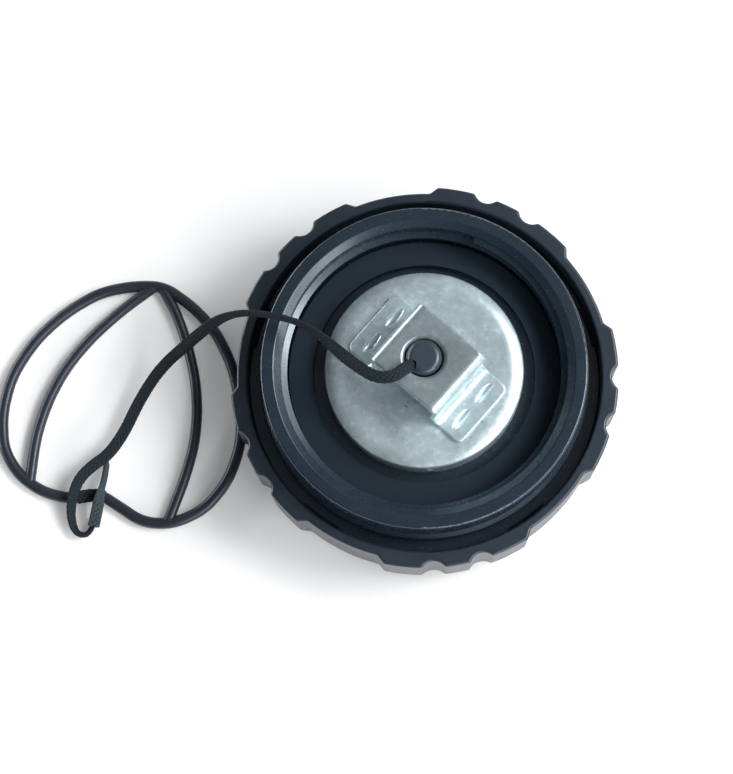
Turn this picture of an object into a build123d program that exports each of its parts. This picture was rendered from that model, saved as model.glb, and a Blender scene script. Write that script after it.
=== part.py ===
"""Screw-on fuel filler cap with a tether, lying crown down as it rests on a table.

Millimetres. +Z runs along the cap's axis, out of its threaded mouth. The origin is the centre of
the crown's outer face. The cord and its anchor hoop lie on the side of -X.
"""
import os
from math import asin, cos, radians, sin, tan

from build123d import *

# Cover: crown, grip skirt and rim
rim_height = 20.0
skirt_wall = 3.5
groove_width = 3.4
recess_depth = 1.4
notch_depth = 1.35
notch_radius = 2.8
crown_corner = 9.0
crown_thickness = 2.4
crown_flare = 0.4
crown_dish_margin = 7.4
crown_dish_depth = 0.8
rim_rounding = 0.6
rim_inner_rounding = 0.5
grip_groups = 5
grip_start_angle = 64.0
group_half_angle = 21.8
flank_angle = 2.6
notch_angle = 7.15
tooth_rounding = 0.8

# Seat of the body in the cover
ledge_height = 11.6
ledge_width = 2.2
drive_ribs = 10
drive_rib_width = 3.0
drive_rib_depth = 1.5
drive_rib_height = 1.7
snap_lugs = 5
snap_lug_angle = 14.0
snap_lug_reach = 0.9
snap_lug_height = 1.6
seat_clearance = 0.25

# Threaded body
flange_thickness = 3.0
bore_radius = 29.1
collar_wall = 4.0
collar_rise = 8.4
lead_in_width = 1.5
lead_in_depth = 1.0
collar_foot = 0.8
collar_foot_drop = 1.0
collar_rounding = 0.5
floor_thickness = 2.6
floor_drop = 1.2
boss_radius = 5.0
under_boss_depth = 3.6
filter_wall = 1.4

# Thread in the collar
thread_pitch = 3.0
thread_gap = 0.3
thread_start_angle = -75.0
thread_depth = 1.2
thread_root_width = 1.8
thread_crest_width = 0.7
thread_embed = 0.4

# Gasket
gasket_thickness = 2.0
gasket_width = 4.9
gasket_thread_gap = 0.2

# Zinc-plated retainer cup
cup_gap = 2.5
cup_rise = 5.6
sheet_thickness = 0.9
cup_edge = 3.2
cup_edge_radius = 5.2
cup_corner = 0.6
cup_port_radius = 1.2
cup_ports = 3
cup_port_start = 35.0

# Tether bridge, folded from strip
bridge_angle = -41.0
bridge_thickness = 0.9
bridge_width = 15.4
bridge_height = 11.1
bridge_shift = 0.6
bridge_side_shift = 0.4
plateau_length = 17.0
wall_undercut = 1.0
bridge_end_margin = 1.8
fold_radius = 1.2
foot_radius = 2.0
bridge_corner = 1.8
bridge_end_rounding = 0.5
dimple_length = 5.2
dimple_width = 2.2
dimple_depth = 0.6
dimple_pitch = 7.0
dimple_end_distance = 3.3
hole_radius = 3.9
hole_lip_radius = 0.9
hole_collar_depth = 2.8
hole_collar_wall = 1.0

# Tether button
button_clearance = 0.3
button_proud = 0.8
button_rounding = 1.4
button_flange_reach = 1.5
button_flange_thickness = 1.4

# Screw through the cup
screw_radius = 2.0
screw_length = 9.0
screw_head_radius = 3.7
screw_head_height = 2.3
screw_head_rounding = 1.4
screw_recess_depth = 1.3
screw_recess_width = 0.9
screw_recess_span = 4.2
screw_clearance = 0.15

# Vent valve round the boss
vent_holes = 6
vent_hole_radius = 1.1
vent_circle_radius = 9.4
vent_seal_width = 4.4
vent_seal_thickness = 1.0
vent_plate_thickness = 0.8
vent_plate_margin = 0.8
vent_guide_clearance = 0.25
spring_wire = 0.6
spring_turns = 3.0
filter_width = 7.8
filter_inset = 0.2

# Tether: cord and anchor hoop
cord_diameter = 2.0
cord_socket_clearance = 0.04
hoop_ring_diameter = 2.4
hoop_bar_diameter = 2.3
hoop_distance = 25.0

# Share of a run that the arc at each of its ends takes, reach of a cutter past what it cuts, and
# how near a point lies to the one that is looked for
arc_share = 0.45
cut_margin = 1.0
pick_tolerance = 0.001

# Route of the cord from the button to the hoop, with its loop over the hoop's ring
cord_route = [
    (-1.9, -1.25, 36.4), (-3.5, -2.3, 38.1), (-6.0, -4.5, 38.9), (-9.7, -4.5, 38.8),
    (-13.2, -2.0, 37.6), (-16.1, 0.5, 36.2), (-19.0, 3.3, 35.0), (-22.0, 6.0, 34.1),
    (-25.6, 8.0, 33.4), (-29.7, 9.2, 32.9), (-34.0, 10.0, 32.4), (-37.8, 10.5, 29.8),
    (-41.2, 10.7, 25.4), (-44.4, 10.4, 20.3), (-47.7, 9.7, 15.0), (-51.2, 8.2, 10.4),
    (-55.0, 5.9, 6.9), (-58.3, 2.5, 4.8), (-61.6, -3.0, 3.7), (-64.0, -8.8, 3.3),
    (-67.0, -14.0, 3.3), (-70.2, -16.3, 3.4), (-73.0, -19.0, 3.7), (-74.4, -22.5, 3.8),
    (-75.0, -26.0, 2.6), (-74.7, -29.0, 1.4), (-73.6, -31.0, 1.05), (-71.6, -31.2, 1.05),
    (-70.4, -29.5, 1.05), (-70.05, -27.6, 1.05),
]
tail_route = [
    (-67.8, -15.6, 1.05), (-67.9, -18.4, 2.2), (-68.3, -21.3, 3.7), (-68.9, -24.2, 3.8),
    (-69.4, -27.0, 3.4), (-69.9, -29.5, 3.15),
]

# Centre lines of the hoop, seen from above, about its own middle
ring_points = [
    (8.5, 23.2), (2.0, 23.3), (-5.2, 21.9), (-12.6, 17.5), (-19.2, 11.2), (-24.0, 3.2),
    (-25.7, -5.0), (-25.1, -12.6), (-21.7, -18.2), (-16.3, -22.0), (-10.0, -23.4), (-4.3, -22.2),
    (0.1, -25.0), (5.2, -28.4), (11.6, -28.7), (18.4, -25.6), (23.4, -19.3), (25.9, -11.4),
    (25.8, -3.6), (23.8, 5.5), (20.0, 13.1), (15.0, 18.6),
]
left_bar_points = [
    (6.6, 23.2), (-0.4, 18.0), (-7.4, 11.4), (-12.6, 4.6), (-16.0, -2.4), (-18.2, -10.0),
    (-19.2, -19.9),
]
right_bar_points = [
    (8.1, 23.0), (11.2, 17.6), (13.9, 10.4), (15.8, 2.6), (16.4, -4.6), (15.9, -11.6),
    (14.0, -19.0), (10.6, -28.3),
]

# Heights and radii that follow from the sizes above
collar_outer_radius = bore_radius + collar_wall
collar_mouth_radius = bore_radius + lead_in_width
collar_foot_radius = collar_outer_radius + collar_foot
rim_inner_radius = collar_outer_radius + groove_width
tip_radius = rim_inner_radius + skirt_wall
recess_radius = tip_radius - recess_depth
skirt_wall_middle = (rim_inner_radius + tip_radius - notch_depth) / 2
ledge_radius = rim_inner_radius - ledge_width
flange_radius = rim_inner_radius - seat_clearance
flange_top = ledge_height + flange_thickness
collar_top = rim_height + collar_rise
bore_top = collar_top - lead_in_depth
floor_top = rim_height - floor_drop
floor_bottom = floor_top - floor_thickness
gasket_top = floor_top + gasket_thickness
gasket_outer_radius = bore_radius - thread_depth - gasket_thread_gap
gasket_inner_radius = gasket_outer_radius - gasket_width
cup_radius = gasket_inner_radius - cup_gap
cup_top = rim_height + cup_rise
cup_ceiling = cup_top - sheet_thickness
cup_flat_radius = cup_radius - cup_edge
cup_hole_radius = screw_radius + screw_clearance
plateau_top = cup_top + bridge_height
plateau_under = plateau_top - bridge_thickness
hole_collar_bottom = plateau_top - hole_collar_depth
button_neck_radius = hole_radius - button_clearance
button_flange_radius = hole_radius + button_flange_reach
screw_tip = cup_top - screw_length
screw_head_top = cup_top + screw_head_height
vent_plate_top = floor_top + vent_seal_thickness + vent_plate_thickness
seal_inner_radius = vent_circle_radius - vent_seal_width / 2
seal_outer_radius = vent_circle_radius + vent_seal_width / 2
filter_inner_radius = boss_radius + seat_clearance
filter_outer_radius = filter_inner_radius + filter_width
pocket_radius = filter_outer_radius + seat_clearance
hoop_x = -(tip_radius + hoop_distance)


def polar(radius, angle):
    """Point at a radius and an angle in degrees."""
    return (radius * cos(radians(angle)), radius * sin(radians(angle)))


def turned(outline):
    """Solid of revolution about Z from a sketch drawn as radius and height."""
    return revolve(Plane.XZ * outline, Axis.Z)


def section(*points):
    """Closed straight-sided outline through points given as radius and height."""
    return make_face(Polyline(*points, close=True))


def ring(inner, outer, bottom, top):
    """Plain ring between two radii and two heights."""
    return turned(section((inner, bottom), (outer, bottom), (outer, top), (inner, top)))


def rounded(outline, corners, radius):
    """Outline with the named corner points rounded."""
    places = [Vector(*corner) for corner in corners]
    picked = [
        v for v in outline.vertices()
        if any((Vector(*v) - place).length < pick_tolerance for place in places)
    ]
    return fillet(picked, radius)


def around(shape, count, start=0.0):
    """Copies of a shape evenly spaced about Z."""
    return [Rot(0, 0, start + 360 / count * i) * shape for i in range(count)]


def arc_radii(points, closed=False):
    """Largest tangent arc at each corner of a route that its two runs leave room for."""
    stops = [Vector(*p) for p in points]
    count = len(stops)
    corners = range(count) if closed else range(1, count - 1)
    radii = []
    for i in corners:
        before = stops[i] - stops[i - 1]
        after = stops[(i + 1) % count] - stops[i]
        shorter = min(before.length, after.length)
        radii.append(arc_share * shorter / tan(radians(before.get_angle(after)) / 2))
    return radii


def tube(points, diameter, closed=False):
    """Round tube along straight runs that are joined by tangent arcs."""
    path = FilletPolyline(*points, radius=arc_radii(points, closed), close=closed)
    start = Plane(path @ 0, z_dir=path % 0)
    return sweep(start * Circle(diameter / 2), path=path)


def grip_outline():
    """Outline of the grip: groups of three teeth that stand out of a round skirt."""
    root = recess_radius - recess_depth
    half_tip = group_half_angle
    half_root = group_half_angle + 2 * flank_angle
    pad = make_face([
        ThreePointArc(polar(tip_radius, -half_tip), (tip_radius, 0), polar(tip_radius, half_tip)),
        Line(polar(tip_radius, half_tip), polar(root, half_root)),
        ThreePointArc(polar(root, half_root), (root, 0), polar(root, -half_root)),
        Line(polar(root, -half_root), polar(tip_radius, -half_tip)),
    ])
    outline = Circle(recess_radius) + around(pad, grip_groups, grip_start_angle)
    notch = Pos(tip_radius - notch_depth + notch_radius, 0) * Circle(notch_radius)
    for side in (-notch_angle, notch_angle):
        outline -= around(notch, grip_groups, grip_start_angle + side)
    return fillet(outline.vertices(), tooth_rounding)


def make_cover():
    """Outer moulding: crown with rounded corner, grip skirt, and the seat for the body."""
    skirt = extrude(grip_outline(), rim_height)
    skirt = fillet(skirt.faces().sort_by(Axis.Z)[-1].edges(), rim_rounding)
    wide = tip_radius + crown_flare
    narrow = wide - crown_corner
    bend = crown_corner * sin(radians(45))
    silhouette = make_face([
        Line((0, 0), (narrow, 0)),
        ThreePointArc((narrow, 0), (narrow + bend, crown_corner - bend), (wide, crown_corner)),
        Line((wide, crown_corner), (wide, rim_height)),
        Line((wide, rim_height), (0, rim_height)),
        Line((0, rim_height), (0, 0)),
    ])
    cover = skirt & turned(silhouette)

    haunch = crown_corner - crown_thickness
    lip = rim_inner_radius + 2 * rim_inner_rounding
    above = rim_height + cut_margin
    cavity = section(
        (0, crown_thickness), (ledge_radius - haunch, crown_thickness),
        (ledge_radius, crown_corner), (ledge_radius, ledge_height),
        (rim_inner_radius, ledge_height), (rim_inner_radius, rim_height),
        (lip, rim_height), (lip, above), (0, above),
    )
    cover -= turned(rounded(cavity, [(rim_inner_radius, rim_height)], rim_inner_rounding))
    dish = narrow - crown_dish_margin
    cover -= turned(section(
        (0, -cut_margin), (dish + cut_margin, -cut_margin),
        (dish - crown_dish_depth, crown_dish_depth), (0, crown_dish_depth),
    ))

    standing = (Align.CENTER, Align.CENTER, Align.MIN)
    rib = Box(2 * drive_rib_depth, drive_rib_width, drive_rib_height, align=standing)
    rib = Pos(rim_inner_radius, 0, ledge_height) * rib
    rib &= ring(0, skirt_wall_middle, 0, rim_height)
    cover += around(rib, drive_ribs)

    lug_bottom = flange_top + seat_clearance
    lug_top = lug_bottom + snap_lug_height
    lug = Plane.XZ * section(
        (rim_inner_radius - snap_lug_reach, lug_bottom), (skirt_wall_middle, lug_bottom),
        (skirt_wall_middle, lug_top), (rim_inner_radius, lug_top),
    )
    lug = Rot(0, 0, -snap_lug_angle / 2) * revolve(lug, Axis.Z, snap_lug_angle)
    return cover + around(lug, snap_lugs, 360 / drive_ribs / 2)


def make_thread():
    """Ridge of the screw thread, rooted in the bore between the gasket and the lead-in."""
    lowest = gasket_top + thread_gap + thread_root_width / 2
    rise = bore_top - thread_gap - thread_root_width / 2 - lowest
    path = Rot(0, 0, thread_start_angle) * Pos(0, 0, lowest) * Helix(thread_pitch, rise, bore_radius)
    across = Vector(*polar(1, thread_start_angle))
    start = Plane(path @ 0, x_dir=across, z_dir=path % 0)
    root = thread_root_width / 2
    crest = thread_crest_width / 2
    profile = section(
        (thread_embed, -root), (0, -root), (-thread_depth, -crest),
        (-thread_depth, crest), (0, root), (thread_embed, root),
    )
    return sweep(start * profile, path=path, is_frenet=True)


def make_threaded_body():
    """Inner moulding: flange, collar with a lead-in and a thread, floor, boss, filter pocket."""
    foot_top = rim_height - collar_foot_drop
    collar = section(
        (0, floor_bottom), (bore_radius, floor_bottom), (bore_radius, ledge_height),
        (flange_radius, ledge_height), (flange_radius, flange_top),
        (collar_foot_radius, flange_top), (collar_foot_radius, foot_top),
        (collar_outer_radius, foot_top + collar_foot), (collar_outer_radius, collar_top),
        (collar_mouth_radius, collar_top), (bore_radius, bore_top), (bore_radius, floor_top),
        (0, floor_top),
    )
    edges = [(collar_outer_radius, collar_top), (collar_mouth_radius, collar_top)]
    body = turned(rounded(collar, edges, collar_rounding))
    body += make_thread()
    skirt_bottom = floor_bottom - under_boss_depth
    body += ring(0, boss_radius, skirt_bottom, cup_ceiling)
    body += ring(pocket_radius, pocket_radius + filter_wall, skirt_bottom, floor_bottom)

    hanging = (Align.CENTER, Align.CENTER, Align.MAX)
    body -= Pos(0, 0, cup_ceiling) * Cylinder(screw_radius, screw_length, align=hanging)
    floor_middle = (floor_top + floor_bottom) / 2
    vent_hole = Cylinder(vent_hole_radius, floor_thickness + 2 * cut_margin)
    body -= around(Pos(vent_circle_radius, 0, floor_middle) * vent_hole, vent_holes)

    slot_width = drive_rib_width + 2 * seat_clearance
    slot_depth = drive_rib_depth + seat_clearance
    slot = Box(2 * slot_depth, slot_width, 2 * (drive_rib_height + seat_clearance))
    return body - around(Pos(rim_inner_radius, 0, ledge_height) * slot, drive_ribs)


def make_gasket():
    """Flat rubber ring on the body's floor."""
    return ring(gasket_inner_radius, gasket_outer_radius, floor_top, gasket_top)


def cup_half(inset):
    """Half section under the cup's skin, drawn in by an inset: flat top, bowed edge, plain wall."""
    wall = cup_radius - inset
    top = cup_top - inset
    bow = cup_edge_radius - inset
    turn = asin((wall - cup_flat_radius) / bow)
    middle = (cup_flat_radius + bow * sin(turn / 2), top - bow + bow * cos(turn / 2))
    corner = (wall, top - bow + bow * cos(turn))
    half = make_face([
        Line((0, floor_top), (0, top)),
        Line((0, top), (cup_flat_radius, top)),
        ThreePointArc((cup_flat_radius, top), middle, corner),
        Line(corner, (wall, floor_top)),
        Line((wall, floor_top), (0, floor_top)),
    ])
    return rounded(half, [corner], cup_corner)


def make_retainer_cup():
    """Drawn cup, upside down on the body's floor and on its boss, with vent ports in its wall."""
    cup = turned(cup_half(0)) - turned(cup_half(sheet_thickness))
    cup -= ring(0, cup_hole_radius, cup_ceiling - cut_margin, cup_top + cut_margin)
    port_height = (gasket_top + cup_top - cup_edge / 2) / 2
    port = Rot(0, 90, 0) * Cylinder(cup_port_radius, sheet_thickness + 2 * cut_margin)
    port = Pos(cup_radius - sheet_thickness / 2, 0, port_height) * port
    return cup - around(port, cup_ports, cup_port_start)


def make_bridge():
    """Hat-shaped strap with rounded flanges, a drawn hole and pressed dimples over its welds."""
    half = bridge_thickness / 2
    knee = plateau_length / 2
    foot = knee - wall_undercut
    end = cup_flat_radius - bridge_end_margin
    low = cup_top + half
    high = plateau_top - half
    centre_line = FilletPolyline(
        (-end, low), (-foot, low), (-knee, high), (knee, high), (foot, low), (end, low),
        radius=[r + half for r in (foot_radius, fold_radius, fold_radius, foot_radius)],
    )
    strip = Plane.XZ * trace(centre_line, bridge_thickness)
    strap = extrude(strip, bridge_width / 2, both=True)
    upright = strap.edges().filter_by(Axis.Z)
    corners = [e for e in upright if abs(abs(e.center().X) - end) < pick_tolerance]
    strap = fillet(corners, bridge_corner)
    weld_face = cup_top + bridge_thickness
    outermost = [
        e for e in strap.edges()
        if abs(e.center().Z - weld_face) < pick_tolerance and abs(e.center().X) > end - bridge_corner
    ]
    strap = fillet(outermost, bridge_end_rounding)
    place = Pos(bridge_shift, bridge_side_shift, 0)
    strap = place * strap

    strap += ring(0, hole_radius + hole_collar_wall, hole_collar_bottom, plateau_under + half)
    lip = hole_radius + 2 * hole_lip_radius
    above = plateau_top + cut_margin
    below = hole_collar_bottom - cut_margin
    throat = section(
        (0, above), (lip, above), (lip, plateau_top), (hole_radius, plateau_top),
        (hole_radius, below), (0, below),
    )
    strap -= turned(rounded(throat, [(hole_radius, plateau_top)], hole_lip_radius))

    axis_height = (dimple_width / 2) ** 2 / (2 * dimple_depth) - dimple_depth / 2
    reach = dimple_length / 2
    spindle = make_face([
        Line((-reach, 0), (reach, 0)),
        Line((reach, 0), (reach, axis_height)),
        ThreePointArc((reach, axis_height), (0, axis_height + dimple_depth), (-reach, axis_height)),
        Line((-reach, axis_height), (-reach, 0)),
    ])
    dimple = Pos(0, 0, axis_height) * Rot(0, 0, 90) * revolve(spindle, Axis.X)
    for x in (dimple_end_distance - end, end - dimple_end_distance):
        for y in (-dimple_pitch / 2, dimple_pitch / 2):
            strap -= place * Pos(x, y, weld_face) * dimple
    return Rot(0, 0, bridge_angle) * strap


def make_button():
    """Button that turns in the bridge's hole, with a flange below it and a socket for the cord."""
    top = plateau_top + button_proud
    flange_high = hole_collar_bottom - button_clearance
    flange_low = flange_high - button_flange_thickness
    outline = section(
        (0, flange_low), (button_flange_radius, flange_low), (button_flange_radius, flange_high),
        (button_neck_radius, flange_high), (button_neck_radius, top), (0, top),
    )
    outline = rounded(outline, [(button_neck_radius, top)], button_rounding)
    start = Vector(*cord_route[0])
    way_out = Plane(start, z_dir=Vector(*cord_route[1]) - start)
    standing = (Align.CENTER, Align.CENTER, Align.MIN)
    socket_radius = cord_diameter / 2 + cord_socket_clearance
    return turned(outline) - way_out * Cylinder(socket_radius, 2 * button_neck_radius, align=standing)


def make_screw():
    """Pan-head screw with a cross recess, through the cup into the boss."""
    outline = section(
        (0, screw_tip), (screw_radius, screw_tip), (screw_radius, cup_top),
        (screw_head_radius, cup_top), (screw_head_radius, screw_head_top), (0, screw_head_top),
    )
    outline = rounded(outline, [(screw_head_radius, screw_head_top)], screw_head_rounding)
    bar = Box(screw_recess_span, screw_recess_width, 2 * screw_recess_depth)
    return turned(outline) - Pos(0, 0, screw_head_top) * (bar + Rot(0, 0, 90) * bar)


def make_vent_seal():
    """Rubber ring that closes the vent holes."""
    return ring(seal_inner_radius, seal_outer_radius, floor_top, floor_top + vent_seal_thickness)


def make_vent_plate():
    """Plate on the seal that slides on the boss."""
    inner = boss_radius + vent_guide_clearance
    outer = seal_outer_radius + vent_plate_margin
    return ring(inner, outer, floor_top + vent_seal_thickness, vent_plate_top)


def make_vent_spring():
    """Coil spring between the vent plate and the cup."""
    lowest = vent_plate_top + spring_wire / 2
    height = cup_ceiling - spring_wire / 2 - lowest
    path = Pos(0, 0, lowest) * Helix(height / spring_turns, height, vent_circle_radius)
    start = Plane(path @ 0, z_dir=path % 0)
    return sweep(start * Circle(spring_wire / 2), path=path, is_frenet=True)


def make_vent_filter():
    """Foam ring in the pocket under the vent holes."""
    bottom = floor_bottom - under_boss_depth + filter_inset
    return ring(filter_inner_radius, filter_outer_radius, bottom, floor_bottom)


def make_hoop():
    """One-piece moulded hoop: a closed ring and two bars that fan out from its apex."""
    height = hoop_ring_diameter / 2
    hoop = tube([(x, y, height) for x, y in ring_points], hoop_ring_diameter, closed=True)
    for points in (left_bar_points, right_bar_points):
        hoop += tube([(x, y, height) for x, y in points], hoop_bar_diameter)
    return Pos(hoop_x, 0, 0) * hoop


pieces = {
    "cover": make_cover(),
    "threaded_body": make_threaded_body(),
    "neck_gasket": make_gasket(),
    "retainer_cup": make_retainer_cup(),
    "tether_bridge": make_bridge(),
    "tether_button": make_button(),
    "cup_screw": make_screw(),
    "vent_seal": make_vent_seal(),
    "vent_plate": make_vent_plate(),
    "vent_spring": make_vent_spring(),
    "vent_filter": make_vent_filter(),
    "tether_cord": tube(cord_route, cord_diameter),
    "cord_tail": tube(tail_route, cord_diameter),
    "anchor_hoop": make_hoop(),
}

os.makedirs("parts", exist_ok=True)
for name, shape in pieces.items():
    export_step(shape, f"parts/{name}.step")

print("cord arcs, mm:", [round(r, 1) for r in arc_radii(cord_route)])
print("tail arcs, mm:", [round(r, 1) for r in arc_radii(tail_route)])
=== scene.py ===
"""Looks of a screw-on fuel filler cap with a braided tether, lying crown down on a white table."""
from math import pi, radians

import bpy
import numpy as np
from mathutils import Matrix, Vector


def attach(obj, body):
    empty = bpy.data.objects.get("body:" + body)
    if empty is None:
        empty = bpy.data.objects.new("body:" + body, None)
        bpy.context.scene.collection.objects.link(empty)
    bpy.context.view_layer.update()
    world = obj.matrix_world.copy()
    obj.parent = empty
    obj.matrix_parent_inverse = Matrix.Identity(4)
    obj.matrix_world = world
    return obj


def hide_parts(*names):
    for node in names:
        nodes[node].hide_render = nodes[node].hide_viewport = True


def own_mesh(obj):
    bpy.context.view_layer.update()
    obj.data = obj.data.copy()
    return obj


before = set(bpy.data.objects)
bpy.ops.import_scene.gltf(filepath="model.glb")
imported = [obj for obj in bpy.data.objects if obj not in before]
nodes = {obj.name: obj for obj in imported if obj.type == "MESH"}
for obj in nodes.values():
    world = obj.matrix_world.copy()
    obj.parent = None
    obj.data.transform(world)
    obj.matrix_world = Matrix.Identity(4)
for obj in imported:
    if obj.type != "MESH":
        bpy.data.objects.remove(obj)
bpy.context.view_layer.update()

MM = 0.001

# Camera above the cap and a little in front of it: angles in degrees
image_height_px = 774
focal_length_px = 2090.4
sensor_mm = 36.0
nearest_seen = 10 * MM
view_elevation = 78.5
view_yaw = 1.5756
view_pitch = -0.359
view_place = Vector((0.0, -85.728, 441.368)) * MM

# Tether: a flat braid from the button to the hoop, its cut tail, and its wrap on the hoop's wire, in mm
cord_route = [
    (-1.9, -1.25, 36.4), (-3.5, -2.3, 38.1), (-6.0, -4.5, 38.9), (-9.7, -4.5, 38.8),
    (-13.2, -2.0, 37.6), (-16.1, 0.5, 36.2), (-19.0, 3.3, 35.0), (-22.0, 6.0, 34.1),
    (-25.6, 8.0, 33.4), (-29.7, 9.2, 32.9), (-34.0, 10.0, 32.4), (-37.8, 10.5, 29.8),
    (-41.2, 10.7, 25.4), (-44.3, 10.2, 20.3), (-47.5, 9.2, 15.0), (-50.9, 7.6, 10.4),
    (-54.7, 5.3, 6.9), (-58.0, 1.9, 4.8), (-61.3, -3.5, 3.7), (-63.8, -9.1, 3.3),
    (-67.0, -14.0, 3.3), (-70.2, -16.3, 3.4), (-73.0, -19.0, 3.7), (-74.4, -22.5, 3.8),
    (-75.0, -26.0, 2.6), (-74.7, -29.0, 1.5), (-73.6, -31.0, 1.3), (-71.6, -31.2, 1.3),
    (-70.4, -29.5, 1.3), (-70.05, -27.6, 1.3),
]
tail_route = [
    (-67.8, -15.6, 1.2), (-67.9, -18.4, 2.2), (-68.3, -21.3, 3.7), (-68.9, -24.2, 3.8),
    (-69.4, -27.0, 3.5), (-69.9, -29.5, 3.3),
]
wrap_route = [
    (-73.6, -23.05, 1.38), (-72.0, -22.77, 1.38), (-70.5, -22.58, 1.38), (-69.0, -22.75, 1.38),
    (-68.2, -23.0, 1.38),
]
line_order = 3
line_steps = 24

# Roll of the flat braid about its line: distance along it in mm, angle in degrees
cord_rolls = [
    (0, 20), (8, 30), (17, 20), (27, 80), (46, 86), (56, 50), (66, 12), (80, 0), (95, 10), (105, 36),
    (112, 58), (117, 72), (124, 65),
]
tail_rolls = [(0, 85), (6, 80), (10, 25), (15, 5)]
wrap_rolls = [(0, 0), (6, 0)]

# Braid: half sizes of its section, strands each way, and the strands' own sizes
braid_half_width = 1.05 * MM
braid_half_thickness = 0.34 * MM
wrap_half_width = 1.22 * MM
wrap_half_thickness = 1.10 * MM
strands_each_way = 6
strand_pitch = 7.2 * MM
strand_half_width = 0.38 * MM
strand_half_thickness = 0.14 * MM
strand_weave = 0.10 * MM
strand_step = 0.2 * MM
strand_sides = 6

# Usual range of a noise pattern
noise_low = 0.3
noise_high = 0.7

# Zinc plating: colours from its dark mottle to its pale specks, and painted shade that darkens the
# bridge's top
zinc_dark = (0.50, 0.62, 0.66)
zinc_grey = (0.62, 0.75, 0.79)
zinc_pale = (0.86, 0.96, 0.98)
painted_shade_from = 36.2 * MM
painted_shade_to = 36.6 * MM
painted_shade_share = 0.56

# White table: sizes in metres, tones, and its own glow where it is looked at
table_radius = 2.0
table_sides = 96
table_dark = (0.90, 0.90, 0.90)
table_light = (0.93, 0.93, 0.93)
table_lift = 0.15

# Light: how far the lamps stand off in metres, and the room's own tint and levels
lamp_distance = 1.5
room_tint = (0.92, 0.98, 1.04, 1.0)
room_dark = 0.0
room_bright = 0.36
room_fade = 0.7


def place_camera():
    """Camera above the cap, a little in front of it."""
    data = bpy.data.cameras.new("camera")
    data.sensor_width = sensor_mm
    data.lens = sensor_mm * focal_length_px / image_height_px
    data.clip_start = nearest_seen
    camera = bpy.data.objects.new("camera", data)
    bpy.context.scene.collection.objects.link(camera)
    turn = Matrix.Rotation(radians(90 - view_elevation), 4, "X")
    turn @= Matrix.Rotation(radians(view_yaw), 4, "Y")
    turn @= Matrix.Rotation(radians(view_pitch), 4, "X")
    camera.matrix_world = Matrix.Translation(view_place) @ turn
    bpy.context.scene.camera = camera


def smooth_line(route):
    """Points along the smooth line that a cord follows, as an array in metres."""
    data = bpy.data.curves.new("route", "CURVE")
    data.dimensions = "3D"
    data.resolution_u = line_steps
    spline = data.splines.new("NURBS")
    spline.points.add(len(route) - 1)
    for point, place in zip(spline.points, route):
        point.co = (*(Vector(place) * MM), 1.0)
    spline.order_u = line_order
    spline.use_endpoint_u = True
    curve = bpy.data.objects.new("route", data)
    mesh = bpy.data.meshes.new_from_object(curve)
    line = np.array([v.co for v in mesh.vertices])
    bpy.data.objects.remove(curve)
    bpy.data.curves.remove(data)
    bpy.data.meshes.remove(mesh)
    return line


def unit(vectors):
    """Rows of an array, each made one long."""
    return vectors / np.linalg.norm(vectors, axis=1, keepdims=True)


def braid(name, line, rolls, half_width=braid_half_width, half_thickness=braid_half_thickness):
    """Braid along a line: strands of two directions that pass over and under each other."""
    runs = np.linalg.norm(np.diff(line, axis=0), axis=1)
    reach = np.concatenate([[0.0], np.cumsum(runs)])
    along = np.linspace(0.0, reach[-1], int(reach[-1] / strand_step))
    centre = np.stack([np.interp(along, reach, line[:, i]) for i in range(3)], axis=1)
    ahead = unit(np.gradient(centre, axis=0))
    side = unit(np.cross(ahead, (0.0, 0.0, 1.0)))
    up = np.cross(side, ahead)
    stations, angles = zip(*rolls)
    roll = np.radians(np.interp(along, np.array(stations) * MM, angles))[:, None]
    wide = np.cos(roll) * side + np.sin(roll) * up
    thin = np.cos(roll) * up - np.sin(roll) * side

    around = np.arange(strand_sides) * 2 * pi / strand_sides
    points, faces = [], []
    for way in (1, -1):
        for strand in range(strands_each_way):
            angle = 2 * pi * (way * along / strand_pitch + strand / strands_each_way)
            lift = way * strand_weave * np.cos(2 * pi * strands_each_way * along / strand_pitch)
            x, y = np.cos(angle)[:, None], np.sin(angle)[:, None]
            out = unit(wide * x / half_width + thin * y / half_thickness)
            path = centre + wide * x * half_width + thin * y * half_thickness
            path = path + out * lift[:, None]
            forward = unit(np.gradient(path, axis=0))
            across = unit(np.cross(forward, out))
            out = np.cross(across, forward)
            first = len(points)
            for i in range(len(path)):
                for bearing in around:
                    sideways = across[i] * np.cos(bearing) * strand_half_width
                    outwards = out[i] * np.sin(bearing) * strand_half_thickness
                    points.append(path[i] + sideways + outwards)
            for i in range(len(path) - 1):
                here = first + i * strand_sides
                there = here + strand_sides
                for j in range(strand_sides):
                    k = (j + 1) % strand_sides
                    faces.append((here + j, there + j, there + k, here + k))
            faces.append(tuple(first + j for j in range(strand_sides)))
            last = first + (len(path) - 1) * strand_sides
            faces.append(tuple(last + j for j in reversed(range(strand_sides))))
    mesh = bpy.data.meshes.new(name)
    mesh.from_pydata([tuple(p) for p in points], [], faces)
    mesh.shade_smooth()
    made = bpy.data.objects.new(name, mesh)
    bpy.context.scene.collection.objects.link(made)
    return made


def spring_coil():
    """Vent spring, copied as a mesh of its own that the cap carries; nothing here shortens it as the
    vent lifts.
    """
    coil = bpy.data.objects.new("spring_coil", nodes["vent_spring"].data.copy())
    bpy.context.scene.collection.objects.link(coil)
    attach(coil, "cap")
    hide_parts("vent_spring")
    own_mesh(coil)
    return coil


def node(owner, kind, inputs=(), **settings):
    """New node of a material or the room, with inputs that are values or other nodes' outputs."""
    made = owner.node_tree.nodes.new(kind)
    for key, value in settings.items():
        setattr(made, key, value)
    for socket, value in dict(inputs).items():
        if isinstance(value, bpy.types.NodeSocket):
            owner.node_tree.links.new(value, made.inputs[socket])
        else:
            made.inputs[socket].default_value = value
    return made


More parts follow.
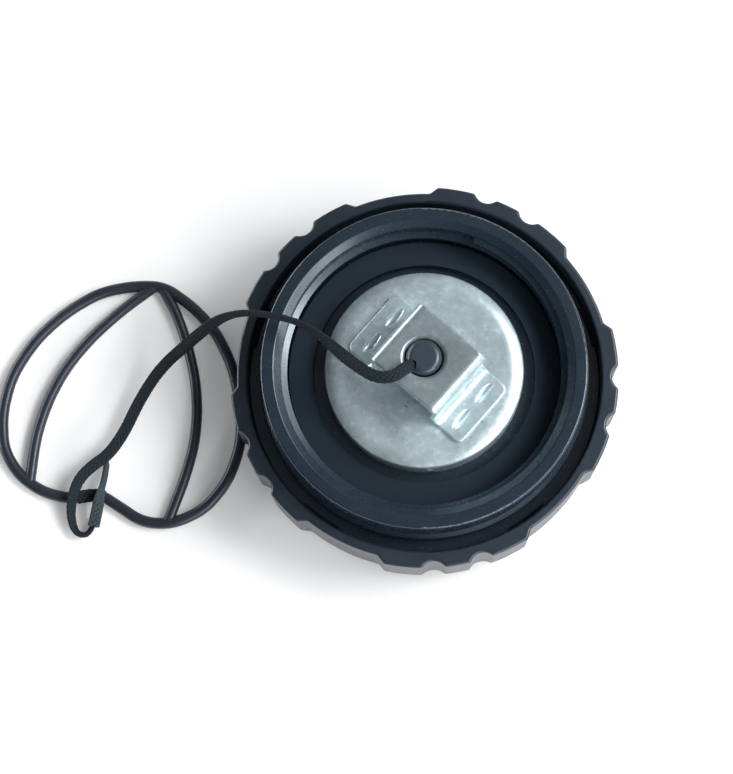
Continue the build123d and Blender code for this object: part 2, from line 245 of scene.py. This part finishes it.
def principled(name, **values):
    """New material, its shader, and its object coordinates."""
    material = bpy.data.materials.new(name)
    material.use_nodes = True
    shader = material.node_tree.nodes["Principled BSDF"]
    for socket, value in values.items():
        shader.inputs[socket.replace("_", " ")].default_value = value
    place = node(material, "ShaderNodeTexCoord").outputs["Object"]
    return material, shader, place


def noise(material, place, size, detail=3.0):
    """Noise with features of about that size in metres."""
    inputs = {"Vector": place, "Scale": 1 / size, "Detail": detail}
    return node(material, "ShaderNodeTexNoise", inputs).outputs["Fac"]


def ramp(material, factor, *stops):
    """Colours between stops of a factor."""
    made = node(material, "ShaderNodeValToRGB", {"Fac": factor})
    line = made.color_ramp.elements
    while len(line) < len(stops):
        line.new(1.0)
    for stop, (position, colour) in zip(line, stops):
        stop.position = position
        stop.color = (*colour, 1.0)
    return made.outputs["Color"]


def two_tones(material, factor, dark, light):
    """Colours from dark to light over a noise's usual range."""
    return ramp(material, factor, (noise_low, dark), (noise_high, light))


def between(owner, factor, low, high, start=noise_low, end=noise_high):
    """Number that goes from low to high as a factor goes from start to end."""
    made = node(owner, "ShaderNodeMapRange", {
        "Value": factor, "From Min": start, "From Max": end, "To Min": low, "To Max": high})
    return made.outputs["Result"]


def maths(material, operation, first, second):
    """Result of an operation on two numbers."""
    made = node(material, "ShaderNodeMath", {0: first, 1: second}, operation=operation)
    return made.outputs[0]


def join(material, shader, **outputs):
    """Links outputs to a shader's sockets."""
    for socket, output in outputs.items():
        material.node_tree.links.new(output, shader.inputs[socket.replace("_", " ")])


def bump(material, shader, height, distance, strength):
    """Relief of a height pattern on a shader's normal."""
    inputs = {"Height": height, "Distance": distance, "Strength": strength}
    made = node(material, "ShaderNodeBump", inputs)
    join(material, shader, Normal=made.outputs["Normal"])


def plastic(name, dark, light, smooth, rough, grain, shine):
    """Moulded black plastic with faint flow marks and a fine grain."""
    material, shader, place = principled(name, Specular_IOR_Level=shine,
                                         Specular_Tint=(0.80, 0.91, 1.0, 1.0))
    flow = noise(material, place, size=6 * MM)
    fine = noise(material, place, size=grain)
    join(material, shader, Base_Color=two_tones(material, flow, dark, light),
         Roughness=between(material, fine, low=smooth, high=rough))
    bump(material, shader, fine, distance=0.01 * MM, strength=0.2)
    return material


def zinc(name):
    """Dull zinc plating: faint patches and pale specks, with painted shade that darkens the bridge's
    top.
    """
    material, shader, place = principled(name, Metallic=0.55)
    mottle = noise(material, place, size=1.2 * MM, detail=4.0)
    patches = noise(material, place, size=3.0 * MM, detail=2.0)
    cloud = noise(material, place, size=8.0 * MM, detail=2.0)
    tones = ramp(material, mottle, (0.25, zinc_dark), (0.58, zinc_grey), (0.76, zinc_pale))
    height = node(material, "ShaderNodeSeparateXYZ", {"Vector": place}).outputs["Z"]
    # Painted shade: the base colour gets darker towards the top of the bridge, and random patches vary
    # it too
    top_shade = between(material, height, low=1.0, high=painted_shade_share, start=painted_shade_from, end=painted_shade_to)
    patchy = between(material, cloud, low=0.84, high=1.14)
    share = maths(material, "MULTIPLY", top_shade, patchy)
    patchy_and_shaded = node(material, "ShaderNodeVectorMath", {0: tones, "Scale": share}, operation="SCALE")
    join(material, shader, Base_Color=patchy_and_shaded.outputs[0],
         Roughness=between(material, patches, low=0.25, high=0.34))
    bump(material, shader, mottle, distance=0.02 * MM, strength=0.5)
    return material


def rubber(name, dark, light):
    """Matt black rubber."""
    material, shader, place = principled(name, Specular_Tint=(0.7, 0.86, 1.0, 1.0))
    fine = noise(material, place, size=0.3 * MM)
    join(material, shader, Base_Color=two_tones(material, fine, dark, light),
         Roughness=between(material, fine, low=0.5, high=0.7))
    bump(material, shader, fine, distance=0.02 * MM, strength=0.5)
    return material


def fibre(name, dark, light):
    """Matt fibres of a braid or of a foam."""
    material, shader, place = principled(name, Specular_IOR_Level=0.2)
    fine = noise(material, place, size=0.15 * MM, detail=4.0)
    join(material, shader, Base_Color=two_tones(material, fine, dark, light),
         Roughness=between(material, fine, low=0.7, high=0.9))
    bump(material, shader, fine, distance=0.03 * MM, strength=0.8)
    return material


def steel(name, dark, light):
    """Plated steel of the screw and the spring."""
    material, shader, place = principled(name, Metallic=1.0)
    fine = noise(material, place, size=0.4 * MM)
    join(material, shader, Base_Color=two_tones(material, fine, dark, light),
         Roughness=between(material, fine, low=0.25, high=0.42))
    return material


def dress(material, *pieces):
    """Gives pieces a material."""
    for piece in pieces:
        piece.data.materials.clear()
        piece.data.materials.append(material)


def white_table():
    """White table top that keeps shadows, and is a little lifted where it is looked at."""
    bpy.ops.mesh.primitive_circle_add(vertices=table_sides, radius=table_radius, fill_type="NGON")
    table = bpy.context.object
    table.name = "table"
    material, shader, place = principled("table_white", Roughness=0.6, Specular_IOR_Level=0.2,
                                         Emission_Color=(1.0, 1.0, 1.0, 1.0))
    speck = noise(material, place, size=4 * MM)
    rays = node(material, "ShaderNodeLightPath").outputs
    seen = rays["Is Camera Ray"]
    for other in ("Is Glossy Ray", "Is Transmission Ray"):
        seen = maths(material, "MAXIMUM", seen, rays[other])
    join(material, shader, Base_Color=two_tones(material, speck, table_dark, table_light),
         Emission_Strength=maths(material, "MULTIPLY", seen, table_lift))
    table.data.materials.append(material)


def lamp(name, azimuth, elevation, width, height, radiance):
    """Soft light that faces the cap from a direction in degrees, with its size in metres."""
    data = bpy.data.lights.new(name, "AREA")
    data.shape = "RECTANGLE"
    data.size = width
    data.size_y = height
    data.energy = radiance * pi * width * height
    made = bpy.data.objects.new(name, data)
    bpy.context.scene.collection.objects.link(made)
    turn = Matrix.Rotation(radians(azimuth), 4, "Z") @ Matrix.Rotation(radians(-elevation), 4, "Y")
    made.location = turn @ Vector((lamp_distance, 0.0, 0.0))
    made.rotation_euler = (-made.location).to_track_quat("-Z", "Y").to_euler()


def studio():
    """Soft light and windows at the right, a pale wall at the left, and a room darker on the left."""
    world = bpy.data.worlds.new("room")
    world.use_nodes = True
    glow = world.node_tree.nodes["Background"]
    glow.inputs["Color"].default_value = room_tint
    direction = node(world, "ShaderNodeTexCoord").outputs["Generated"]
    rightward = node(world, "ShaderNodeSeparateXYZ", {"Vector": direction}).outputs["X"]
    join(world, glow, Strength=between(world, rightward, room_dark, room_bright, -room_fade, room_fade))
    bpy.context.scene.world = world
    lamp("key", azimuth=26.0, elevation=46.0, width=0.8, height=0.8, radiance=3.9)
    lamp("high_window", azimuth=5.0, elevation=46.0, width=0.6, height=0.5, radiance=9.2)
    lamp("side_window", azimuth=-20.0, elevation=42.0, width=1.3, height=0.4, radiance=6.6)
    lamp("front_window", azimuth=-58.0, elevation=22.0, width=1.1, height=0.15, radiance=16.0)
    lamp("left_wall", azimuth=158.0, elevation=10.0, width=1.8, height=0.3, radiance=11.0)


place_camera()
cord_line = smooth_line(cord_route)
tether = braid("tether_braid", cord_line, cord_rolls)
tail = braid("tail_braid", smooth_line(tail_route), tail_rolls)
wrap = braid("wrap_braid", smooth_line(wrap_route), wrap_rolls, wrap_half_width, wrap_half_thickness)
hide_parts("tether_cord")
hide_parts("cord_tail")
for piece in (tether, tail, wrap):
    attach(piece, "tether")

dress(plastic("cover_plastic", dark=(0.016, 0.024, 0.036), light=(0.023, 0.032, 0.045),
              smooth=0.30, rough=0.38, grain=0.7 * MM, shine=0.70), nodes["cover"])
dress(plastic("body_plastic", dark=(0.010, 0.019, 0.031), light=(0.015, 0.025, 0.038),
              smooth=0.24, rough=0.28, grain=1.0 * MM, shine=0.85), nodes["threaded_body"])
dress(plastic("button_plastic", dark=(0.030, 0.041, 0.056), light=(0.039, 0.052, 0.069),
              smooth=0.26, rough=0.38, grain=0.5 * MM, shine=0.70), nodes["tether_button"])
dress(plastic("hoop_plastic", dark=(0.018, 0.022, 0.033), light=(0.026, 0.030, 0.041),
              smooth=0.30, rough=0.40, grain=0.6 * MM, shine=0.50), nodes["anchor_hoop"])
dress(fibre("braid_fibre", dark=(0.010, 0.016, 0.022), light=(0.022, 0.032, 0.040)), tether, wrap)
# Cut tail: the same braid in lighter tones, a painted highlight on its twisted side
dress(fibre("tail_fibre_painted_highlight", dark=(0.024, 0.036, 0.045), light=(0.064, 0.082, 0.092)), tail)
dress(fibre("filter_foam", dark=(0.06, 0.06, 0.065), light=(0.12, 0.12, 0.125)), nodes["vent_filter"])
dress(rubber("gasket_rubber", dark=(0.004, 0.010, 0.019), light=(0.007, 0.014, 0.025)),
      nodes["neck_gasket"], nodes["vent_seal"])
dress(zinc("zinc_plate"), nodes["retainer_cup"], nodes["tether_bridge"], nodes["vent_plate"])
dress(steel("screw_steel", dark=(0.42, 0.43, 0.44), light=(0.6, 0.61, 0.62)),
      nodes["cup_screw"], spring_coil())

white_table()
studio()
bpy.context.scene.view_settings.view_transform = "Standard"
